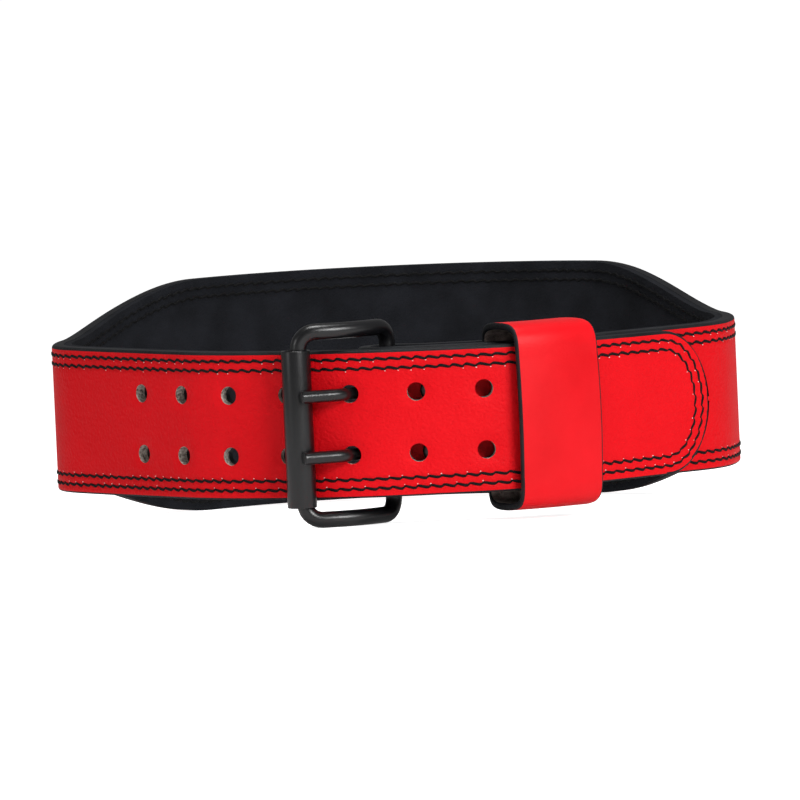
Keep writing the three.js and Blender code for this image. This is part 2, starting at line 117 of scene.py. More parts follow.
def spot(along, out=0.0, up=0.0):
    """The point `along` the strap's face from the middle of the front, `out` from it and `up`."""
    wrapped = along - LOOP * round(along / LOOP)
    side = -1.0 if wrapped < 0 else 1.0
    run = abs(wrapped)
    start, radius, begins, x, y = [arc for arc in ARCS if arc[2] <= run][-1]
    heading = start + (run - begins) / radius
    x += radius * (math.sin(heading) - math.sin(start))
    y -= radius * (math.cos(heading) - math.cos(start))
    x += out * math.sin(heading)
    y -= out * math.cos(heading)
    return np.array([side * x, y - LOOP_DEPTH / 2, up])


def ease(rows, at):
    """Reads a short table of (at, value) rows, easing from each row to the next."""
    if at <= rows[0][0]:
        return rows[0][1]
    for (left, low), (right, high) in zip(rows, rows[1:]):
        if at <= right:
            t = (at - left) / (right - left)
            return low + (high - low) * t * t * (3 - 2 * t)
    return rows[-1][1]


TAIL_FACE = [
    (STRIP_SINKS_BY, 0.0),
    (BAR_AT, TAIL_GAP + LAMINATE),
    (TAIL_REACH - TIP_LIES_FLAT, TAIL_GAP + LAMINATE),
    (TAIL_REACH, TIP_GAP + LAMINATE),
]


def tail_face(along):
    return ease(TAIL_FACE, along)


def fold_face(along):
    return -2 * LAMINATE - ease([(BAR_AT, 2 * FOLD_INSIDE), (FOLD_CLOSES_AT, KEEPER_SPACE)], along)


def panel_half(along):
    offset = (along + LOOP / 2 - PANEL_SHIFT) % LOOP
    from_middle = min(offset, LOOP - offset)
    widths = [(PANEL_HALF_LENGTH, PANEL_WIDTH / 2), (PANEL_HALF_LENGTH + PANEL_TAPER, STRAP_WIDTH / 2)]
    return ease(widths, from_middle)


def tail_half(along):
    share = min(max((along - PRONG_HOLE_AT) / (TAIL_REACH - PRONG_HOLE_AT), 0.0), 1.0)
    half = (STRAP_WIDTH + (TIP_WIDTH - STRAP_WIDTH) * share) / 2
    into_tip = (along - (TAIL_REACH - TIP_ROUNDING)) / TIP_ROUNDING
    return half * math.sqrt(max(1 - into_tip * into_tip, 0.0)) if into_tip > 0 else half


def strip_course(step):
    """Stations from the tail's tip to the folded end: middle of the strip, half width, along."""
    middle = LAMINATE / 2
    stations = []
    for i in range(TIP_STEPS):
        angle = (TIP_OPENS + (1 - TIP_OPENS) * i / TIP_STEPS) * math.pi / 2
        along = TAIL_REACH - TIP_ROUNDING * (1 - math.cos(angle))
        stations.append((spot(along, tail_face(along) - middle), tail_half(along), along))
    for along in np.arange(TAIL_REACH - TIP_ROUNDING, STRIP_SINKS_BY, -step):
        stations.append((spot(along, tail_face(along) - middle), tail_half(along), along))
    loop_end = BAR_AT - LOOP
    count = int((STRIP_SINKS_BY - loop_end) / step)
    for along in np.linspace(STRIP_SINKS_BY, loop_end, count, endpoint=False):
        stations.append((spot(along, -middle), panel_half(along), along))
    bar = spot(BAR_AT, -FOLD_OUTSIDE)
    outward = spot(BAR_AT, 1.0) - spot(BAR_AT)
    leftward = np.array([outward[1], -outward[0], 0.0])
    bend = FOLD_INSIDE + middle
    for i in range(FOLD_STEPS + 1):
        angle = math.pi * i / FOLD_STEPS
        at = bar + outward * bend * math.cos(angle) + leftward * bend * math.sin(angle)
        stations.append((at, STRAP_WIDTH / 2, loop_end - bend * angle))
    fold_end = loop_end - bend * math.pi
    for reach in np.arange(step, FOLD_END_AT - BAR_AT + step / 2, step):
        along = BAR_AT + reach
        stations.append((spot(along, fold_face(along) + middle), STRAP_WIDTH / 2, fold_end - reach))
    return stations


course = strip_course(STATION_STEP)
course_at = np.array([at[:2] for at, _, _ in course])
course_half = np.array([half for _, half, _ in course])
course_along = np.array([along for _, _, along in course])
travel = np.gradient(course_at, axis=0)
travel /= np.linalg.norm(travel, axis=1)[:, None]
course_out = np.stack([-travel[:, 1], travel[:, 0]], axis=1)


def on_strip(along, up, out):
    """Points on the strip where its own length is at `along`, `out` from its middle line."""
    places = [np.interp(-along, -course_along, course_at[:, k]) for k in (0, 1)]
    outs = [np.interp(-along, -course_along, course_out[:, k]) for k in (0, 1)]
    return np.stack([places[0] + outs[0] * out, places[1] + outs[1] * out, up + 0 * places[0]], axis=-1)


def standing(points):
    """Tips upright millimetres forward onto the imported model, in metres."""
    points = np.asarray(points, float)
    y = points[..., 1] * math.cos(TILT) - points[..., 2] * math.sin(TILT)
    z = points[..., 1] * math.sin(TILT) + points[..., 2] * math.cos(TILT)
    return (np.stack([points[..., 0], y, z], axis=-1) + STANDS_AT) / 1000


def piece_of(name, points, faces, materials, chosen=None, crease=40):
    """Makes a piece of the belt from points, faces and a material for each face."""
    mesh = bpy.data.meshes.new(name)
    mesh.from_pydata(standing(points).tolist(), [], [tuple(int(k) for k in face) for face in faces])
    for material in materials:
        mesh.materials.append(material)
    if chosen is not None:
        mesh.polygons.foreach_set("material_index", np.asarray(chosen, np.int32))
    mesh.validate()
    skin = bmesh.new()
    skin.from_mesh(mesh)
    bmesh.ops.recalc_face_normals(skin, faces=skin.faces)
    skin.to_mesh(mesh)
    skin.free()
    mesh.shade_smooth()
    mesh.set_sharp_from_angle(angle=math.radians(crease))
    made = bpy.data.objects.new(name, mesh)
    bpy.context.collection.objects.link(made)
    return made


def grid_faces(rows, columns, wrap_rows=False, wrap_columns=True):
    """Quads of a grid of points that may close on itself either way."""
    quads = []
    for i in range(rows if wrap_rows else rows - 1):
        for j in range(columns if wrap_columns else columns - 1):
            here, below = i * columns, (i + 1) % rows * columns
            beside = (j + 1) % columns
            quads.append((here + j, below + j, below + beside, here + beside))
    return quads


def effect(name, inputs, outputs):
    """An empty shader node group with named inputs and outputs."""
    group = bpy.data.node_groups.new(name, "ShaderNodeTree")
    for label, kind, value in inputs:
        socket = group.interface.new_socket(label, in_out="INPUT", socket_type=kind)
        if value is not None:
            socket.default_value = value
    for label, kind in outputs:
        group.interface.new_socket(label, in_out="OUTPUT", socket_type=kind)
    entry = group.nodes.new("NodeGroupInput")
    leave = group.nodes.new("NodeGroupOutput")
    return group, entry, leave


def node_with(tree, kind, **values):
    """Adds a node and sets its properties and its inputs' values by name."""
    node = tree.nodes.new(kind)
    for key, value in values.items():
        label = key.replace("_", " ").title() if not hasattr(node, key) else None
        if label is None:
            setattr(node, key, value)
        else:
            node.inputs[label].default_value = value
    return node


PEBBLE_SHARE = 0.7
TONE_FROM = 0.32
TONE_TO = 0.68
GRAIN_DEPTH = 0.0004


def grain_effect():
    """Fine pebbled grain with a slow drift of tone: small cells over two layers of noise."""
    group, entry, leave = effect(
        "fine grain",
        [("Vector", "NodeSocketVector", None), ("Scale", "NodeSocketFloat", 900.0),
         ("Drift", "NodeSocketFloat", 14.0)],
        [("Height", "NodeSocketFloat"), ("Tone", "NodeSocketFloat")],
    )
    cells = node_with(group, "ShaderNodeTexVoronoi", feature="SMOOTH_F1")
    fine = node_with(group, "ShaderNodeTexNoise", detail=3.0)
    slow = node_with(group, "ShaderNodeTexNoise", detail=4.0)
    pebbles = node_with(group, "ShaderNodeMath", operation="MULTIPLY_ADD")
    pebbles.inputs[1].default_value = PEBBLE_SHARE
    for texture in (cells, fine, slow):
        group.links.new(entry.outputs["Vector"], texture.inputs["Vector"])
    group.links.new(entry.outputs["Scale"], cells.inputs["Scale"])
    group.links.new(entry.outputs["Scale"], fine.inputs["Scale"])
    group.links.new(entry.outputs["Drift"], slow.inputs["Scale"])
    group.links.new(cells.outputs["Distance"], pebbles.inputs[0])
    group.links.new(fine.outputs["Fac"], pebbles.inputs[2])
    group.links.new(pebbles.outputs[0], leave.inputs["Height"])
    group.links.new(slow.outputs["Fac"], leave.inputs["Tone"])
    return group


FINE_GRAIN = grain_effect()


def grained(name, dark, light, roughness, scale, relief, drift=14.0, uneven=0.08, **shader_values):
    """A material whose tone drifts between two colours over a fine grain of a given scale."""
    material = bpy.data.materials.new(name)
    material.use_nodes = True
    tree = material.node_tree
    shader = tree.nodes["Principled BSDF"]
    place = tree.nodes.new("ShaderNodeTexCoord")
    grain = tree.nodes.new("ShaderNodeGroup")
    grain.node_tree = FINE_GRAIN
    grain.inputs["Scale"].default_value = scale
    grain.inputs["Drift"].default_value = drift
    tree.links.new(place.outputs["Object"], grain.inputs["Vector"])
    tone = tree.nodes.new("ShaderNodeValToRGB")
    tone.color_ramp.elements[0].position = TONE_FROM
    tone.color_ramp.elements[1].position = TONE_TO
    tone.color_ramp.elements[0].color = (*dark, 1)
    tone.color_ramp.elements[1].color = (*light, 1)
    tree.links.new(grain.outputs["Tone"], tone.inputs["Fac"])
    tree.links.new(tone.outputs["Color"], shader.inputs["Base Color"])
    gloss = tree.nodes.new("ShaderNodeMapRange")
    gloss.inputs["To Min"].default_value = roughness - uneven
    gloss.inputs["To Max"].default_value = roughness + uneven
    tree.links.new(grain.outputs["Tone"], gloss.inputs["Value"])
    tree.links.new(gloss.outputs["Result"], shader.inputs["Roughness"])
    bump = tree.nodes.new("ShaderNodeBump")
    bump.inputs["Strength"].default_value = relief
    bump.inputs["Distance"].default_value = GRAIN_DEPTH
    tree.links.new(grain.outputs["Height"], bump.inputs["Height"])
    tree.links.new(bump.outputs["Normal"], shader.inputs["Normal"])
    for label, value in shader_values.items():
        socket = label.replace("_", " ").title().replace("Ior", "IOR")
        shader.inputs[socket].default_value = value
    return material


RED_LEATHER = grained(
    "red leather", (0.62, 0.003, 0.007), (0.70, 0.005, 0.010), 0.5, 760.0, 0.65,
    specular_ior_level=0.08,
)
PAINTED_EDGE = grained(
    "painted edge", (0.004, 0.004, 0.005), (0.011, 0.012, 0.014), 0.55, 700.0, 0.5, 60.0,
    specular_ior_level=0.2,
)
RAW_FIBRE = grained(
    "raw fibre", (0.10, 0.07, 0.055), (0.62, 0.56, 0.50), 0.9, 1500.0, 1.0, 900.0, 0.05,
)

# Sewn and punched places on the face: the stitch rows are counted from each edge
STITCH_ROWS = [4.0, 8.0]
GROOVE_DEPTH = 0.3
GROOVE_WIDTH = 0.55
GROOVE_STOPS = 4.0
HOLE_DIAMETER = 7.8
HOLE_PITCH = 27.4
PRONG_ROWS = [13.0, -13.0]
HOLE_STEPS = range(-4, 3)
DIMPLE_DEPTH = 0.7
DIMPLE_REACH = 1.7
DIMPLES_FROM = -130.0
DIMPLES_TO = 60.0
EDGE_ROUND = 1.3
TIP_PAINT = 0.95
TIP_OUTLINE_STEPS = 240
tip_turns = np.linspace(0, math.pi / 2, TIP_OUTLINE_STEPS)
tip_places = TAIL_REACH - TIP_ROUNDING * (1 - np.sin(tip_turns))
TIP_OUTLINE = (tip_places, np.array([tail_half(place) for place in tip_places]))
FACE_COLUMNS = [1.0, 2.2, 3.3, 4.0, 4.7, 5.9, 7.3, 8.0, 8.7, 9.8, 11.4]
COLUMN_SQUEEZE = 0.97
MIDDLE_COLUMNS = 22
BACK_COLUMNS = 9
CORNER_STEPS = 4
LARGEST_ROUND = 0.45
STRIP_CREASE = 50
LEATHER_BACK = 0.2


def layer_section(half, back, face, rounding):
    """Points round a layer's section at one station, from the lower back corner round the face."""
    squeeze = min(1.0, half / (STRAP_WIDTH / 2))
    rounding = min(rounding, half * LARGEST_ROUND)
    points = [(back, -half)]
    for i in range(CORNER_STEPS + 1):
        angle = math.pi / 2 * i / CORNER_STEPS
        across = face - rounding + rounding * math.sin(angle)
        points.append((across, -half + rounding * (1 - math.cos(angle))))
    squeeze *= COLUMN_SQUEEZE
    steps = [rounding + (column - FACE_COLUMNS[0]) * squeeze for column in FACE_COLUMNS[1:]]
    last = steps[-1]
    middle = np.linspace(-half + last, half - last, MIDDLE_COLUMNS + 1)[1:-1]
    points += [(face, -half + step) for step in steps]
    points += [(face, up) for up in middle]
    points += [(face, half - step) for step in reversed(steps)]
    for i in range(CORNER_STEPS + 1):
        angle = math.pi / 2 * (1 - i / CORNER_STEPS)
        across = face - rounding + rounding * math.sin(angle)
        points.append((across, half - rounding * (1 - math.cos(angle))))
    points.append((back, half))
    for up in np.linspace(half, -half, BACK_COLUMNS)[1:-1]:
        points.append((back, up))
    return points


def pressed(along, up, half):
    """How far the face is pressed in by the thread and round the punched holes."""
    from_edge = half - abs(up)
    depth = 0.0
    if along < TAIL_REACH - TIP_ROUNDING - GROOVE_STOPS:
        for row in STITCH_ROWS:
            depth += GROOVE_DEPTH * math.exp(-(((from_edge - row) / GROOVE_WIDTH) ** 2))
    if DIMPLES_FROM < along < DIMPLES_TO:
        for step in HOLE_STEPS:
            aside = along - PRONG_HOLE_AT - step * HOLE_PITCH
            for row in PRONG_ROWS:
                beyond = max(math.hypot(aside, up - row) - HOLE_DIAMETER / 2, 0.0)
                depth += DIMPLE_DEPTH * math.exp(-((beyond / DIMPLE_REACH) ** 2))
    return depth


def inside_tip(along, up):
    """How far a place near the tail's tip lies inside the strip's outline."""
    if along < TAIL_REACH - TIP_ROUNDING:
        return TIP_ROUNDING
    return float(np.min(np.hypot(TIP_OUTLINE[0] - along, TIP_OUTLINE[1] - abs(up))))


def strip_layer(name, back, face, rounding, face_material, other_materials, press):
    """One layer of the strip from its back to its face, with painted rims."""
    points = []
    chosen = []
    inside = []
    for i in range(len(course)):
        section = layer_section(course_half[i], back, face, rounding)
        half, along = course_half[i], course_along[i]
        for across, up in section:
            inside.append(inside_tip(along, up))
            if press and across >= face:
                across -= pressed(along, up, half)
                short = max(EDGE_ROUND - inside[-1], 0.0)
                across = min(across, face - EDGE_ROUND + math.sqrt(EDGE_ROUND ** 2 - short ** 2))
            places = course_at[i] + course_out[i] * across
            points.append((places[0], places[1], up))
    columns = len(section)
    quads = grid_faces(len(course), columns)
    on_face = range(CORNER_STEPS, columns - BACK_COLUMNS - CORNER_STEPS)
    for i in range(len(course) - 1):
        for j in range(columns):
            painted = inside[i * columns + j] < TIP_PAINT
            chosen.append(0 if j in on_face and not painted else 1)
    last = (len(course) - 1) * columns
    quads.append(tuple(range(columns)))
    quads.append(tuple(reversed(range(last, last + columns))))
    chosen += [1, 1]
    return piece_of(name, points, quads, [face_material, *other_materials], chosen, STRIP_CREASE)


leather = strip_layer(
    "leather_strip", LAMINATE / 2 - LEATHER - LEATHER_BACK, LAMINATE / 2, EDGE_ROUND,
    RED_LEATHER, [PAINTED_EDGE, RAW_FIBRE], True,
)


PUNCH_SIDES = 40
PUNCH_DEEPER = 0.9
PUNCH_STARTS = 1.2
SLOT_REACH = 0.5
SLOT_STEPS = 17
SLOT_HALF = 4.0


def punch(name, material_index, materials):
    """One body of round punches for the prong holes and of the slots that let the prongs out."""
    points = []
    faces = []

    def add_prism(outline, axis_low, axis_high):
        first = len(points)
        count = len(outline)
        points.extend(outline + axis_low)
        points.extend(outline + axis_high)
        for i in range(count):
            after = (i + 1) % count
            faces.append((first + i, first + after, first + count + after, first + count + i))
        faces.append(tuple(first + i for i in reversed(range(count))))
        faces.append(tuple(first + count + i for i in range(count)))

    upright = np.array([0, 0, 1.0])
    for row in PRONG_ROWS:
        for step in HOLE_STEPS:
            along = PRONG_HOLE_AT + step * HOLE_PITCH
            outward = spot(along, 1.0) - spot(along)
            rightward = np.array([-outward[1], outward[0], 0.0])
            turn = np.linspace(0, 2 * math.pi, PUNCH_SIDES, endpoint=False)
            radius = HOLE_DIAMETER / 2
            rim = rightward * (radius * np.cos(turn))[:, None]
            rim = rim + upright * (radius * np.sin(turn))[:, None]
            middle = spot(along, tail_face(along), row)
            add_prism(middle + rim, -outward * (LAMINATE + PUNCH_DEEPER), outward * PUNCH_STARTS)
        bar = spot(BAR_AT, -FOLD_OUTSIDE, row)
        outward = spot(BAR_AT, 1.0) - spot(BAR_AT)
        leftward = np.array([outward[1], -outward[0], 0.0])
        reach = FOLD_OUTSIDE + SLOT_REACH
        turn = np.linspace(-math.pi / 2, math.pi / 2, SLOT_STEPS)
        arc = leftward * (reach * np.cos(turn))[:, None]
        arc = arc + outward * (reach * np.sin(turn))[:, None]
        ends = np.array([outward * reach - leftward, -leftward - outward * reach])
        add_prism(bar + np.concatenate([arc, ends]), -upright * SLOT_HALF, upright * SLOT_HALF)
    return piece_of(name, points, faces, materials, [material_index] * len(faces))


def cut(target, cutter):
    """Cuts one body out of another for good, and leaves the cutter out of the scene."""
    modifier = target.modifiers.new("punched", "BOOLEAN")
    modifier.operation = "DIFFERENCE"
    modifier.solver = "MANIFOLD"
    modifier.material_mode = "TRANSFER"
    modifier.object = cutter
    graph = bpy.context.evaluated_depsgraph_get()
    result = bpy.data.meshes.new_from_object(target.evaluated_get(graph), depsgraph=graph)
    target.modifiers.clear()
    target.data = result
    result.set_sharp_from_angle(angle=math.radians(STRIP_CREASE))
    bpy.data.objects.remove(cutter)


cut(leather, punch("hole_punch", 2, [RED_LEATHER, PAINTED_EDGE, RAW_FIBRE]))
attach(leather, "root")
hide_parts("belt_leather")

# The lining: black split suede, napped and matt, glued to the leather's flesh side, punched and
# painted with it.
SUEDE = grained(
    "black suede", (0.006, 0.0066, 0.0085), (0.012, 0.013, 0.0165), 0.93, 1700.0, 0.7, 60.0, 0.04,
    specular_ior_level=0.15,
)
SUEDE_EDGE = grained(
    "painted suede edge", (0.003, 0.003, 0.004), (0.007, 0.008, 0.010), 0.7, 900.0, 0.6, 90.0,
    specular_ior_level=0.25,
)

LINING_FACE = 0.24
LINING_ROUND = 0.3
lining = strip_layer(
    "lining_strip", -LAMINATE / 2, LAMINATE / 2 - LEATHER - LINING_FACE, LINING_ROUND,
    SUEDE_EDGE, [SUEDE, SUEDE_EDGE], False,
)
cut(lining, punch("lining_punch", 2, [SUEDE_EDGE, SUEDE, SUEDE_EDGE]))
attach(lining, "root")
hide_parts("suede_lining")

# The stitching: two rows of thick black bonded thread along every edge and round the tail's tip,
# each stitch slanting a little from needle hole to needle hole and pulled into the leather.
STITCH = 5.3
THREAD = 1.25
STITCH_SLANT = 0.46
STITCH_TURN = 0.28
THREAD_SIDES = 6
STITCH_POINTS = 9
STITCH_LENGTH = 1.24
STITCH_BEGINS = 0.12
STITCH_UNEVEN = 0.12
STITCH_RISE = 0.5
STITCH_SINKS = 0.2
THREAD_PINCH = 0.7
THREAD_FLAT = 0.72
MARK_CHANCE = 0.6
MARK_SIZES = (0.26, 0.42)
MARK_LONG = 1.3
MARK_ALONG = 0.1
MARK_ASIDE = 0.62
MARK_RINGS = ((1.0, -0.25), (0.6, 0.38))
SEAM_FINE = 0.5
SEAM_STARTS = 5.0
SEAM_TIP_STEPS = 160
SEAM_CREASE = 60
SEAM_CHANCE = 11
LINING_SINKS = -0.5
BLACK_THREAD = grained(
    "black thread", (0.0010, 0.0010, 0.0012), (0.0035, 0.0035, 0.0040), 0.6, 2600.0, 0.9, 300.0,
    specular_ior_level=0.15,
)
# Pale pink specks beside some stitches: painted highlight, small lit spots on the leather coloured in.
PAINTED_HIGHLIGHT_SPECK = grained(
    "painted highlight speck", (0.62, 0.30, 0.29), (0.80, 0.62, 0.60), 0.7, 2600.0, 0.5, 500.0,
)


def seam_route(inset, spacing):
    """(along, up) at even spacing down one edge, round the tip and back along the other edge."""
    tip_begins = TAIL_REACH - TIP_ROUNDING
    straight = np.arange(course_along[-1] + SEAM_STARTS, tip_begins, SEAM_FINE)
    half = np.interp(-straight, -course_along, course_half)
    turn = np.linspace(0, math.pi, SEAM_TIP_STEPS)[1:-1]
    reach = TIP_ROUNDING - inset
    tip_half = tail_half(tip_begins) - inset
    tip = np.stack([tip_begins + reach * np.sin(turn), tip_half * np.cos(turn)], axis=1)
    upper = np.stack([straight, half - inset], axis=1)
    lower = np.stack([straight, inset - half], axis=1)[::-1]
    route = np.concatenate([upper, tip, lower])
    length = np.concatenate([[0], np.cumsum(np.linalg.norm(np.diff(route, axis=0), axis=1))])
    count = int(length[-1] / spacing)
    stops = np.linspace(0, length[-1], count + 1)
    return np.stack([np.interp(stops, length, route[:, k]) for k in (0, 1)], axis=1)


def stitches(name, out, lift, marks):
    """Every stitch of both rows as its own bent thread, with small pale specks of painted highlight
    beside some.
    """
    points = []
    faces = []
    chosen = []
    side_turns = np.linspace(0, 2 * math.pi, THREAD_SIDES, endpoint=False)
    chance = np.random.default_rng(SEAM_CHANCE)
    for inset in STITCH_ROWS:
        stops = seam_route(inset, STITCH)
        for start, end in zip(stops, stops[1:]):
            run = end - start
            span = np.linalg.norm(run)
            run = run / span
            aside = np.array([-run[1], run[0]])
            wobble = chance.uniform(-STITCH_UNEVEN, STITCH_UNEVEN, 2)
            share = np.linspace(0, 1, STITCH_POINTS)
            slant = STITCH_SLANT + wobble[0]
            rising = np.clip(share / STITCH_TURN, 0, 1)
            falling = np.clip((share - STITCH_TURN) / (1 - STITCH_TURN), 0, 1)
            sway = np.where(share < STITCH_TURN, -np.cos(math.pi * rising), np.cos(math.pi * falling))
            path = start + np.outer(STITCH_LENGTH * share - STITCH_BEGINS, run * span)
            path = path + np.outer(slant * sway, aside)
            arch = np.sqrt(np.sin(share * math.pi).clip(0))
            heights = out + lift * (arch * STITCH_RISE * (1 + wobble[1]) - STITCH_SINKS)
            thick = THREAD / 2 * (THREAD_PINCH + (1 - THREAD_PINCH) * arch)
            flat = math.copysign(THREAD_FLAT, lift)
            first = len(points)
            for k in range(STITCH_POINTS):
                ring_up = path[k][1] + aside[1] * thick[k] * np.cos(side_turns)
                ring_along = path[k][0] + aside[0] * thick[k] * np.cos(side_turns)
                ring_out = heights[k] + flat * thick[k] * np.sin(side_turns)
                points.extend(on_strip(ring_along, ring_up, ring_out))
            for face in grid_faces(STITCH_POINTS, THREAD_SIDES):
                faces.append(tuple(first + k for k in face))
            faces.append(tuple(first + k for k in range(THREAD_SIDES)))
            last = first + (STITCH_POINTS - 1) * THREAD_SIDES
            faces.append(tuple(last + k for k in reversed(range(THREAD_SIDES))))
            chosen += [0] * ((STITCH_POINTS - 1) * THREAD_SIDES + 2)
            # A small raised speck of pale painted highlight beside this stitch.
            if marks and chance.random() < MARK_CHANCE:
                first = len(points)
                size = chance.uniform(*MARK_SIZES)
                at = start + run * MARK_ALONG - aside * (slant + MARK_ASIDE)
                for part, rise in MARK_RINGS:
                    reach = size * part
                    ring_along = at[0] + reach * MARK_LONG * np.cos(side_turns)
                    ring_up = at[1] + reach * np.sin(side_turns)
                    points.extend(on_strip(ring_along, ring_up, out + rise + 0 * ring_up))
                for face in grid_faces(2, THREAD_SIDES):
                    faces.append(tuple(first + k for k in face))
                faces.append(tuple(first + k for k in range(THREAD_SIDES)))
                last = first + THREAD_SIDES
                faces.append(tuple(last + k for k in reversed(range(THREAD_SIDES))))
                chosen += [1] * (THREAD_SIDES + 2)
    return piece_of(name, points, faces, [BLACK_THREAD, PAINTED_HIGHLIGHT_SPECK], chosen, SEAM_CREASE)


face_stitching = stitches("stitching_on_face", LAMINATE / 2 - GROOVE_DEPTH, 1.0, True)
back_stitching = stitches("stitching_on_lining", -LAMINATE / 2, LINING_SINKS, False)
for seam in (face_stitching, back_stitching):
    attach(seam, "root")

# The keeper: a band of the same leather, single, closed round strap and tail. Its back run is
# caught in the fold, its front stands off the tail and has slid a little to the right.
KEEPER_AT = 71.0
KEEPER_SKEW = 8.0
KEEPER_BAND = 34.0
KEEPER_LEATHER = 3.0
KEEPER_HEIGHT = 80.0
KEEPER_SLACK = 4.0
KEEPER_BULGE = 2.0
KEEPER_CREST = 0.5
KEEPER_BROW = 0.66
KEEPER_SHOULDER = 0.94
KEEPER_EDGE = 0.9
KEEPER_BACK_GAP = 0.3
KEEPER_BACK_STEPS = 20
KEEPER_FRONT_STEPS = 30
KEEPER_STATIONS = 150
KEEPER_COLUMNS = 16
KEEPER_EDGE_STEPS = 4
KEEPER_PAINT = 0.75
KEEPER_CREASE = 50


def bezier(points, steps):
    """Points along a quadratic or cubic curve, without its last point."""
    points = np.array(points, float)
    made = []
    for t in np.linspace(0, 1, steps, endpoint=False):
        rest = points
        while len(rest) > 1:
            rest = rest[:-1] * (1 - t) + rest[1:] * t
        made.append(rest[0])
    return made


def evenly(points, count, closed):
    """Resamples a line of points at even spacing."""
    points = np.array(points, float)
    line = np.concatenate([points, points[:1]]) if closed else points
    length = np.concatenate([[0], np.cumsum(np.linalg.norm(np.diff(line, axis=0), axis=1))])
    stops = np.linspace(0, length[-1], count, endpoint=not closed)
    return np.stack([np.interp(stops, length, line[:, k]) for k in range(line.shape[1])], axis=1)


def keeper_outline():
    """The middle of the band seen from its side, (out, up), with its hindmost and foremost place."""
    back = -LAMINATE - KEEPER_BACK_GAP - KEEPER_LEATHER / 2
    face = tail_face(KEEPER_AT) + KEEPER_SLACK + KEEPER_LEATHER / 2
    front = face + KEEPER_BULGE
    top = (KEEPER_HEIGHT - KEEPER_LEATHER) / 2
    crest = back + (face - back) * KEEPER_CREST
    brow = top * KEEPER_BROW
    shoulder = top * KEEPER_SHOULDER
    flat = STRAP_WIDTH / 2
    bend = face - KEEPER_BULGE
    runs = [
        ([(back, -flat), (back, flat)], KEEPER_BACK_STEPS),
        ([(back, flat), (back, top), (crest, top)], KEEPER_BACK_STEPS),
        ([(crest, top), (bend, top), (face, shoulder), (face, brow)], KEEPER_FRONT_STEPS),
        ([(face, brow), (front, 0), (face, -brow)], KEEPER_FRONT_STEPS),
        ([(face, -brow), (face, -shoulder), (bend, -top), (crest, -top)], KEEPER_FRONT_STEPS),
        ([(crest, -top), (back, -top), (back, -flat)], KEEPER_BACK_STEPS),
    ]
    line = [point for corners, steps in runs for point in bezier(corners, steps)]
    return evenly(line, KEEPER_STATIONS, True), back, front


def keeper():
    """The band: a flat section with rounded rims carried round the outline."""
    line, back, front = keeper_outline()
    heading = np.roll(line, -1, axis=0) - np.roll(line, 1, axis=0)
    heading /= np.linalg.norm(heading, axis=1)[:, None]
    section = []
    half_band, half_thick = KEEPER_BAND / 2, KEEPER_LEATHER / 2
    corners = [(-1, -1, math.pi), (1, -1, 1.5 * math.pi), (1, 1, 0.0), (-1, 1, 0.5 * math.pi)]
    for side, level, start in corners:
        for i in range(KEEPER_EDGE_STEPS + 1):
            angle = start + math.pi / 2 * i / KEEPER_EDGE_STEPS
            across = side * (half_band - KEEPER_EDGE) + KEEPER_EDGE * math.cos(angle)
            distance = level * (half_thick - KEEPER_EDGE) + KEEPER_EDGE * math.sin(angle)
            section.append((across, distance))
        if side * level > 0:
            runs = np.linspace(side, -side, KEEPER_COLUMNS)[1:-1] * (half_band - KEEPER_EDGE)
            section += [(across, level * half_thick) for across in runs]
    points = []
    chosen = []
    for i, (out, up) in enumerate(line):
        forward = min(max((out - back) / (front - back), 0.0), 1.0)
        skew = KEEPER_SKEW * forward * forward * (3 - 2 * forward)
        for across, distance in section:
            place_out = out + heading[i][1] * distance
            place_up = up - heading[i][0] * distance
            points.append(spot(KEEPER_AT + across + skew, place_out, place_up))
    columns = len(section)
    for i in range(len(line)):
        for j in range(columns):
            ahead = section[(j + 1) % columns]
            level = (section[j][1] + ahead[1]) / 2
            across = abs(section[j][0] + ahead[0]) / 2
            chosen.append(1 if across > half_band - KEEPER_PAINT else (0 if level < 0 else 2))
    faces = grid_faces(len(line), columns, wrap_rows=True)
    materials = [KEEPER_RED, PAINTED_EDGE, KEEPER_INSIDE]
    return piece_of("keeper_band", points, faces, materials, chosen, KEEPER_CREASE)


KEEPER_RED = grained(
    "keeper leather", (0.62, 0.003, 0.007), (0.72, 0.005, 0.011), 0.42, 1200.0, 0.16, 30.0,
    specular_ior_level=0.16,
)
KEEPER_INSIDE = grained(
    "keeper flesh side", (0.12, 0.09, 0.08), (0.34, 0.27, 0.24), 0.9, 1500.0, 0.8, 200.0,
)
band = keeper()
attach(band, "root")
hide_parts("keeper")

# The buckle's frame: one round steel wire, bent into a loop with rounded corners, welded shut and
# coated satin black. Its right bar lies in the fold and its left bar carries the roller.
FRAME_HEIGHT = 87.0
FRAME_CORNER = 7.0
FRAME_BOW = 5.0
ROLLER_AT = -24.6
ROLLER_DIAMETER = 12.5
ROLLER_HANGS_LEFT = 1.1
ROLLER_HANGS_OUT = 0.5
ROLLER_CLEARANCE = 0.45
ROLLER_OUT = tail_face(ROLLER_AT) + ROLLER_DIAMETER / 2 + ROLLER_CLEARANCE
FRAME_BOW_STEPS = 80
FRAME_SIDE_STEPS = 120
FRAME_CORNER_STEPS = 16
FRAME_STATIONS = 150
WIRE_SIDES = 24
BLACK_COAT = grained(
    "satin black coat", (0.0015, 0.0015, 0.002), (0.004, 0.004, 0.005), 0.30, 1600.0, 0.10, 40.0, 0.06,
    specular_ior_level=0.5,
)


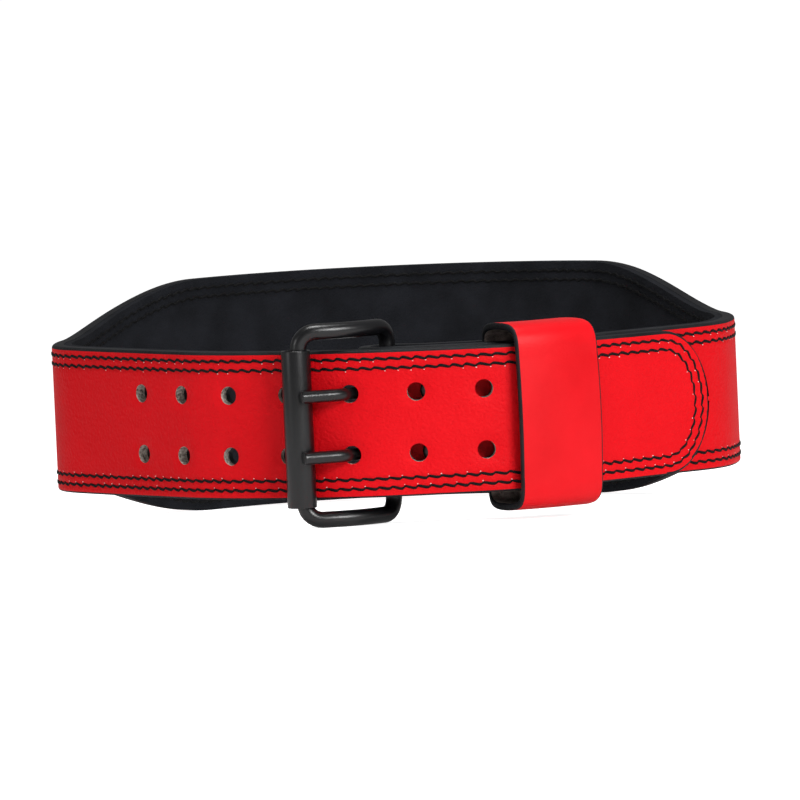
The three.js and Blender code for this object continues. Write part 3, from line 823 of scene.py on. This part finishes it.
def tube(line, radius, sides, closed, capped=False):
    """A round wire along a line of points."""
    line = np.array(line, float)
    if closed:
        travel = np.roll(line, -1, axis=0) - np.roll(line, 1, axis=0)
    else:
        travel = np.gradient(line, axis=0)
    travel /= np.linalg.norm(travel, axis=1)[:, None]
    aside = np.cross(travel[0], [0, 0, 1.0])
    if np.linalg.norm(aside) < 0.1:
        aside = np.cross(travel[0], [0, 1.0, 0])
    rings = []
    turn = np.linspace(0, 2 * math.pi, sides, endpoint=False)
    for at, ahead in zip(line, travel):
        aside = aside - ahead * np.dot(aside, ahead)
        aside /= np.linalg.norm(aside)
        upward = np.cross(ahead, aside)
        rings.append(at + radius * (np.cos(turn)[:, None] * aside + np.sin(turn)[:, None] * upward))
    points = np.concatenate(rings)
    faces = [tuple(reversed(face)) for face in grid_faces(len(line), sides, wrap_rows=closed)]
    if capped:
        last = (len(line) - 1) * sides
        faces.append(tuple(reversed(range(sides))))
        faces.append(tuple(range(last, last + sides)))
    return points, faces


def frame_line():
    """The wire's middle line: an upright loop with rounded corners, bowed out from the belt."""
    bar = np.array([BAR_AT, -FOLD_OUTSIDE])
    roller = np.array([ROLLER_AT + ROLLER_HANGS_LEFT, ROLLER_OUT - ROLLER_HANGS_OUT])
    chord = roller - bar
    bow = np.array([chord[1], -chord[0]]) / np.linalg.norm(chord) * 2 * FRAME_BOW
    side = bezier([bar, (bar + roller) / 2 + bow, roller], FRAME_BOW_STEPS) + [roller]
    side = evenly(side, FRAME_SIDE_STEPS, False)
    span = np.linalg.norm(np.diff(side, axis=0), axis=1).sum()
    top = (FRAME_HEIGHT - WIRE) / 2
    corner = FRAME_CORNER
    flat = []
    for across, level, start in (
        (corner, top - corner, math.pi),
        (span - corner, top - corner, math.pi / 2),
        (span - corner, corner - top, 0.0),
        (corner, corner - top, -math.pi / 2),
    ):
        for i in range(FRAME_CORNER_STEPS + 1):
            angle = start - math.pi / 2 * i / FRAME_CORNER_STEPS
            flat.append((across + corner * math.cos(angle), level + corner * math.sin(angle)))
    flat = evenly(flat, FRAME_STATIONS, True)
    share = np.clip(flat[:, 0] / span, 0, 1) * (len(side) - 1)
    along = np.interp(share, np.arange(len(side)), side[:, 0])
    out = np.interp(share, np.arange(len(side)), side[:, 1])
    return [spot(a, o, up) for a, o, up in zip(along, out, flat[:, 1])]


wire_points, wire_faces = tube(frame_line(), WIRE / 2, WIRE_SIDES, True)
frame_wire = piece_of("frame_wire", wire_points, wire_faces, [BLACK_COAT])
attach(frame_wire, "root")
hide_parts("buckle_frame")

# The roller: a short steel tube rolled from sheet, coated like the frame, loose on its left bar so
# that the tail slides under it. Its mouths are rounded over.
ROLLER_LENGTH = 67.0
ROLLER_BORE = 10.4
ROLLER_DROP = 1.0
ROLLER_LIP = 0.44
ROLLER_SIDES = 48
LIP_STEPS = 4


def turned(profile, centre, axis, sides):
    """A closed profile of (radius, level) turned about an axis through a centre."""
    axis = np.array(axis, float)
    axis /= np.linalg.norm(axis)
    aside = np.cross(axis, [0.3, 0.2, 1.0] if abs(axis[2]) < 0.9 else [1.0, 0, 0])
    aside /= np.linalg.norm(aside)
    other = np.cross(axis, aside)
    turn = np.linspace(0, 2 * math.pi, sides, endpoint=False)
    points = []
    for angle in turn:
        radial = math.cos(angle) * aside + math.sin(angle) * other
        points += [centre + radial * radius + axis * level for radius, level in profile]
    faces = [tuple(reversed(face)) for face in grid_faces(sides, len(profile), wrap_rows=True)]
    return np.array(points), faces


def lipped(inner, outer, half, lip):
    """A ring's section with its four corners rounded."""
    profile = []
    for radius, level, start in (
        (outer - lip, half - lip, 0.0),
        (inner + lip, half - lip, 90.0),
        (inner + lip, lip - half, 180.0),
        (outer - lip, lip - half, 270.0),
    ):
        for i in range(LIP_STEPS + 1):
            angle = math.radians(start + 90 * i / LIP_STEPS)
            profile.append((radius + lip * math.cos(angle), level + lip * math.sin(angle)))
    return profile


roller_points, roller_faces = turned(
    lipped(ROLLER_BORE / 2, ROLLER_DIAMETER / 2, ROLLER_LENGTH / 2, ROLLER_LIP),
    spot(ROLLER_AT, ROLLER_OUT, -ROLLER_DROP), (0, 0, 1), ROLLER_SIDES,
)
roller = piece_of("roller_tube", roller_points, roller_faces, [BLACK_COAT])
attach(roller, "root")
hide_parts("buckle_roller")

# The prongs: two lengths of thinner wire, each with an eye closed round the bar. They rise through
# the tail's holes and lie over the roller, their ends cut square.
PRONG_WIRE = 5.4
PRONG_SLOPE = math.radians(35.5)
PRONG_OVERHANG = 2.2
PRONG_CLEARS_FACE = 2.0
PRONG_ON_ROLLER = 0.3
PRONG_STEPS = 8
PRONG_RIM = 0.35
EYE_WALL = 3.0
EYE_HALF = 3.2
EYE_LIP = 1.2
EYE_SIDES = 40
PRONG_BEND = [(0, 0), (0.31, 0.035), (0.5, 0.2), (0.79, 0.565), (1.007, 0.99)]


def smooth_line(points, steps):
    """A curve through every point, Catmull-Rom."""
    points = [2 * points[0] - points[1], *points, 2 * points[-1] - points[-2]]
    made = []
    for a, b, c, d in zip(points, points[1:], points[2:], points[3:]):
        for t in np.linspace(0, 1, steps, endpoint=False):
            made.append(0.5 * (2 * b + (c - a) * t + (2 * a - 5 * b + 4 * c - d) * t * t
                               + (3 * b - 3 * c + d - a) * t ** 3))
    return [*made, points[-2]]


def prong_route(row):
    """A prong's middle line, from its eye up through the tail's hole and over the roller."""
    reach = (ROLLER_DIAMETER + PRONG_WIRE) / 2 + PRONG_ON_ROLLER
    on_roller = np.array([ROLLER_AT, ROLLER_OUT])
    on_roller += reach * np.array([math.sin(PRONG_SLOPE), math.cos(PRONG_SLOPE)])
    downhill = np.array([math.cos(PRONG_SLOPE), -math.sin(PRONG_SLOPE)])
    face = tail_face(PRONG_HOLE_AT)
    eye_top = -FOLD_OUTSIDE + FOLD_INSIDE + PRONG_WIRE / 2
    rise = face - LAMINATE / 2 - eye_top
    straight = (on_roller[1] - face - PRONG_CLEARS_FACE) / math.sin(PRONG_SLOPE)
    forward = PRONG_HOLE_AT - BAR_AT
    route = [np.array([BAR_AT + forward * a, eye_top + rise * out]) for a, out in PRONG_BEND]
    route += [on_roller + downhill * run for run in (straight, straight / 2, 0, -PRONG_OVERHANG)]
    return smooth_line([spot(along, out, row) for along, out in route], PRONG_STEPS)


def blunt(line, radius, sides, ease_by):
    """A round wire whose free end is cut square with a slightly broken rim."""
    points, faces = tube(line, radius, sides, False)
    ahead = line[-1] - line[-2]
    ahead = ahead / np.linalg.norm(ahead)
    last = points[-sides:]
    inner = line[-1] + (last - line[-1]) * (1 - ease_by / radius) + ahead * ease_by
    first = len(points)
    points = np.concatenate([points, inner])
    for i in range(sides):
        after = (i + 1) % sides
        faces.append((first - sides + i, first - sides + after, first + after, first + i))
    faces.append(tuple(range(first, first + sides)))
    faces.append(tuple(reversed(range(sides))))
    return points, faces


PRONG_NAMES = [("upper_prong", "prong_upper"), ("lower_prong", "prong_lower")]
for (name, node), row in zip(PRONG_NAMES, PRONG_ROWS):
    shank_points, shank_faces = blunt(prong_route(row), PRONG_WIRE / 2, WIRE_SIDES, PRONG_RIM)
    eye_points, eye_faces = turned(
        lipped(FOLD_INSIDE, FOLD_INSIDE + EYE_WALL, EYE_HALF, EYE_LIP),
        spot(BAR_AT, -FOLD_OUTSIDE, row), (0, 0, 1), EYE_SIDES,
    )
    offset = len(shank_points)
    eye_faces = [tuple(k + offset for k in face) for face in eye_faces]
    prong_points = np.concatenate([shank_points, eye_points])
    prong = piece_of(name, prong_points, shank_faces + eye_faces, [BLACK_COAT])
    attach(prong, "root")
    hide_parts(node)

# The rivets: black domed caps pressed over shanks that close the fold, two in each column, with a
# like cap on the inside.
RIVET_COLUMNS = [31.0, 95.0]
RIVET_HEAD = 12.0
RIVET_THICKNESS = 1.5
RIVET_SHANK = 5.0
RIVET_RIM = 0.35
RIVET_DOME = 0.55
RIVET_MIDDLE = 0.02
RIVET_STEPS = 8
RIVET_SEAT = 0.3
RIVET_SIDES = 36


def rivet_profile(face, inside):
    """Half a rivet's section as (radius, level): a cap on the face, the shank, a cap inside."""
    radius = RIVET_HEAD / 2
    dome = []
    for i in range(RIVET_STEPS + 1):
        angle = math.pi / 2 * i / RIVET_STEPS
        level = RIVET_RIM + (RIVET_THICKNESS - RIVET_RIM) * math.sin(angle)
        dome.append((max(radius * math.cos(angle) ** RIVET_DOME, RIVET_MIDDLE), level))
    outer = [(reach, face + level) for reach, level in reversed(dome)]
    inner = [(reach, inside - level) for reach, level in dome]
    shank = [(radius, face), (RIVET_SHANK / 2, face), (RIVET_SHANK / 2, inside), (radius, inside)]
    return [*outer, *shank, *inner]


for column, along in enumerate(RIVET_COLUMNS):
    for line, row in enumerate(PRONG_ROWS):
        outward = spot(along, 1.0) - spot(along)
        rivet_points, rivet_faces = turned(
            rivet_profile(RIVET_SEAT, fold_face(along) - RIVET_SEAT),
            spot(along, 0.0, row), outward, RIVET_SIDES,
        )
        number = 2 * column + line + 1
        rivet = piece_of(f"rivet_cap_{number}", rivet_points, rivet_faces, [BLACK_COAT])
        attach(rivet, "root")
        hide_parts(f"rivet_{number}")

# The studio: a wide pale floor under soft daylight, a large soft light from the right of the
# camera, a weaker one from the left and one from above, and the long lens of the photograph.
FLOOR_REACH = 60.0
CAMERA_AWAY = 6880.0
CAMERA_RISE = 0.0692
CAMERA_TURN = 0.126
CAMERA_ROLL = -0.0455
PIXELS_PER_MM = 2.3102
PICTURE = 800
SENSOR = 36.0
FLOOR_GLOW = 0.84
WORLD_STRENGTH = 0.22
LIGHT_ASPECT = 0.8

floor_mesh = bpy.data.meshes.new("floor")
floor_corners = [(x * FLOOR_REACH, y * FLOOR_REACH, 0) for x, y in ((-1, -1), (1, -1), (1, 1), (-1, 1))]
floor_mesh.from_pydata(floor_corners, [], [(0, 1, 2, 3)])
floor = bpy.data.objects.new("floor", floor_mesh)
bpy.context.collection.objects.link(floor)
PALE_FLOOR = grained("pale floor", (0.86, 0.86, 0.86), (0.90, 0.90, 0.90), 0.9, 20.0, 0.0, 0.5, 0.02)
floor_mesh.materials.append(PALE_FLOOR)
glow = PALE_FLOOR.node_tree.nodes["Principled BSDF"]
glow.inputs["Emission Color"].default_value = (1, 1, 1, 1)
seen = PALE_FLOOR.node_tree.nodes.new("ShaderNodeLightPath")
lift = node_with(PALE_FLOOR.node_tree, "ShaderNodeMath", operation="MULTIPLY")
lift.inputs[1].default_value = FLOOR_GLOW
PALE_FLOOR.node_tree.links.new(seen.outputs["Is Camera Ray"], lift.inputs[0])
PALE_FLOOR.node_tree.links.new(lift.outputs[0], glow.inputs["Emission Strength"])


def soft_light(name, width, power, place, aim):
    data = bpy.data.lights.new(name, "AREA")
    data.shape = "RECTANGLE"
    data.size = width
    data.size_y = width * LIGHT_ASPECT
    data.energy = power
    light = bpy.data.objects.new(name, data)
    bpy.context.collection.objects.link(light)
    light.location = place
    direction = light.location - Vector(aim)
    light.rotation_euler = direction.to_track_quat("Z", "Y").to_euler()


soft_light("front light", 0.8, 31, (1.2, -1.5, 0.9), (0.05, -0.1, 0.05))
soft_light("side light", 0.5, 3.5, (-1.5, -1.1, 0.5), (0, 0, 0.05))
soft_light("top light", 0.7, 16, (0, -0.3, 1.6), (0, 0, 0.05))
world = bpy.data.worlds.new("daylight")
world.use_nodes = True
world.node_tree.nodes["Background"].inputs["Color"].default_value = (1, 1, 1, 1)
world.node_tree.nodes["Background"].inputs["Strength"].default_value = WORLD_STRENGTH
bpy.context.scene.world = world
bpy.context.scene.view_settings.view_transform = "Standard"


def tipped(direction):
    """A direction of the upright belt in the standing belt's space."""
    return (standing(np.array(direction, float)) - standing(np.zeros(3))) * 1000


toward = [
    math.sin(CAMERA_TURN) * math.cos(CAMERA_RISE),
    -math.cos(CAMERA_TURN) * math.cos(CAMERA_RISE),
    math.sin(CAMERA_RISE),
]
rightward = np.array([math.cos(CAMERA_TURN), math.sin(CAMERA_TURN), 0.0])
upward = np.cross(toward, rightward)
cosine, sine = math.cos(CAMERA_ROLL), math.sin(CAMERA_ROLL)
axes = [
    tipped(cosine * rightward + sine * upward),
    tipped(-sine * rightward + cosine * upward),
    tipped(toward),
]
place = standing(np.zeros(3)) + axes[2] * CAMERA_AWAY / 1000
camera_data = bpy.data.cameras.new("camera")
camera = bpy.data.objects.new("camera", camera_data)
bpy.context.collection.objects.link(camera)
matrix = camera.matrix_world.copy()
for column, axis in enumerate(axes):
    for k in range(3):
        matrix[k][column] = axis[k]
for k in range(3):
    matrix[k][3] = place[k]
camera.matrix_world = matrix
camera_data.sensor_width = SENSOR
camera_data.lens = SENSOR * CAMERA_AWAY * PIXELS_PER_MM / PICTURE
bpy.context.scene.camera = camera
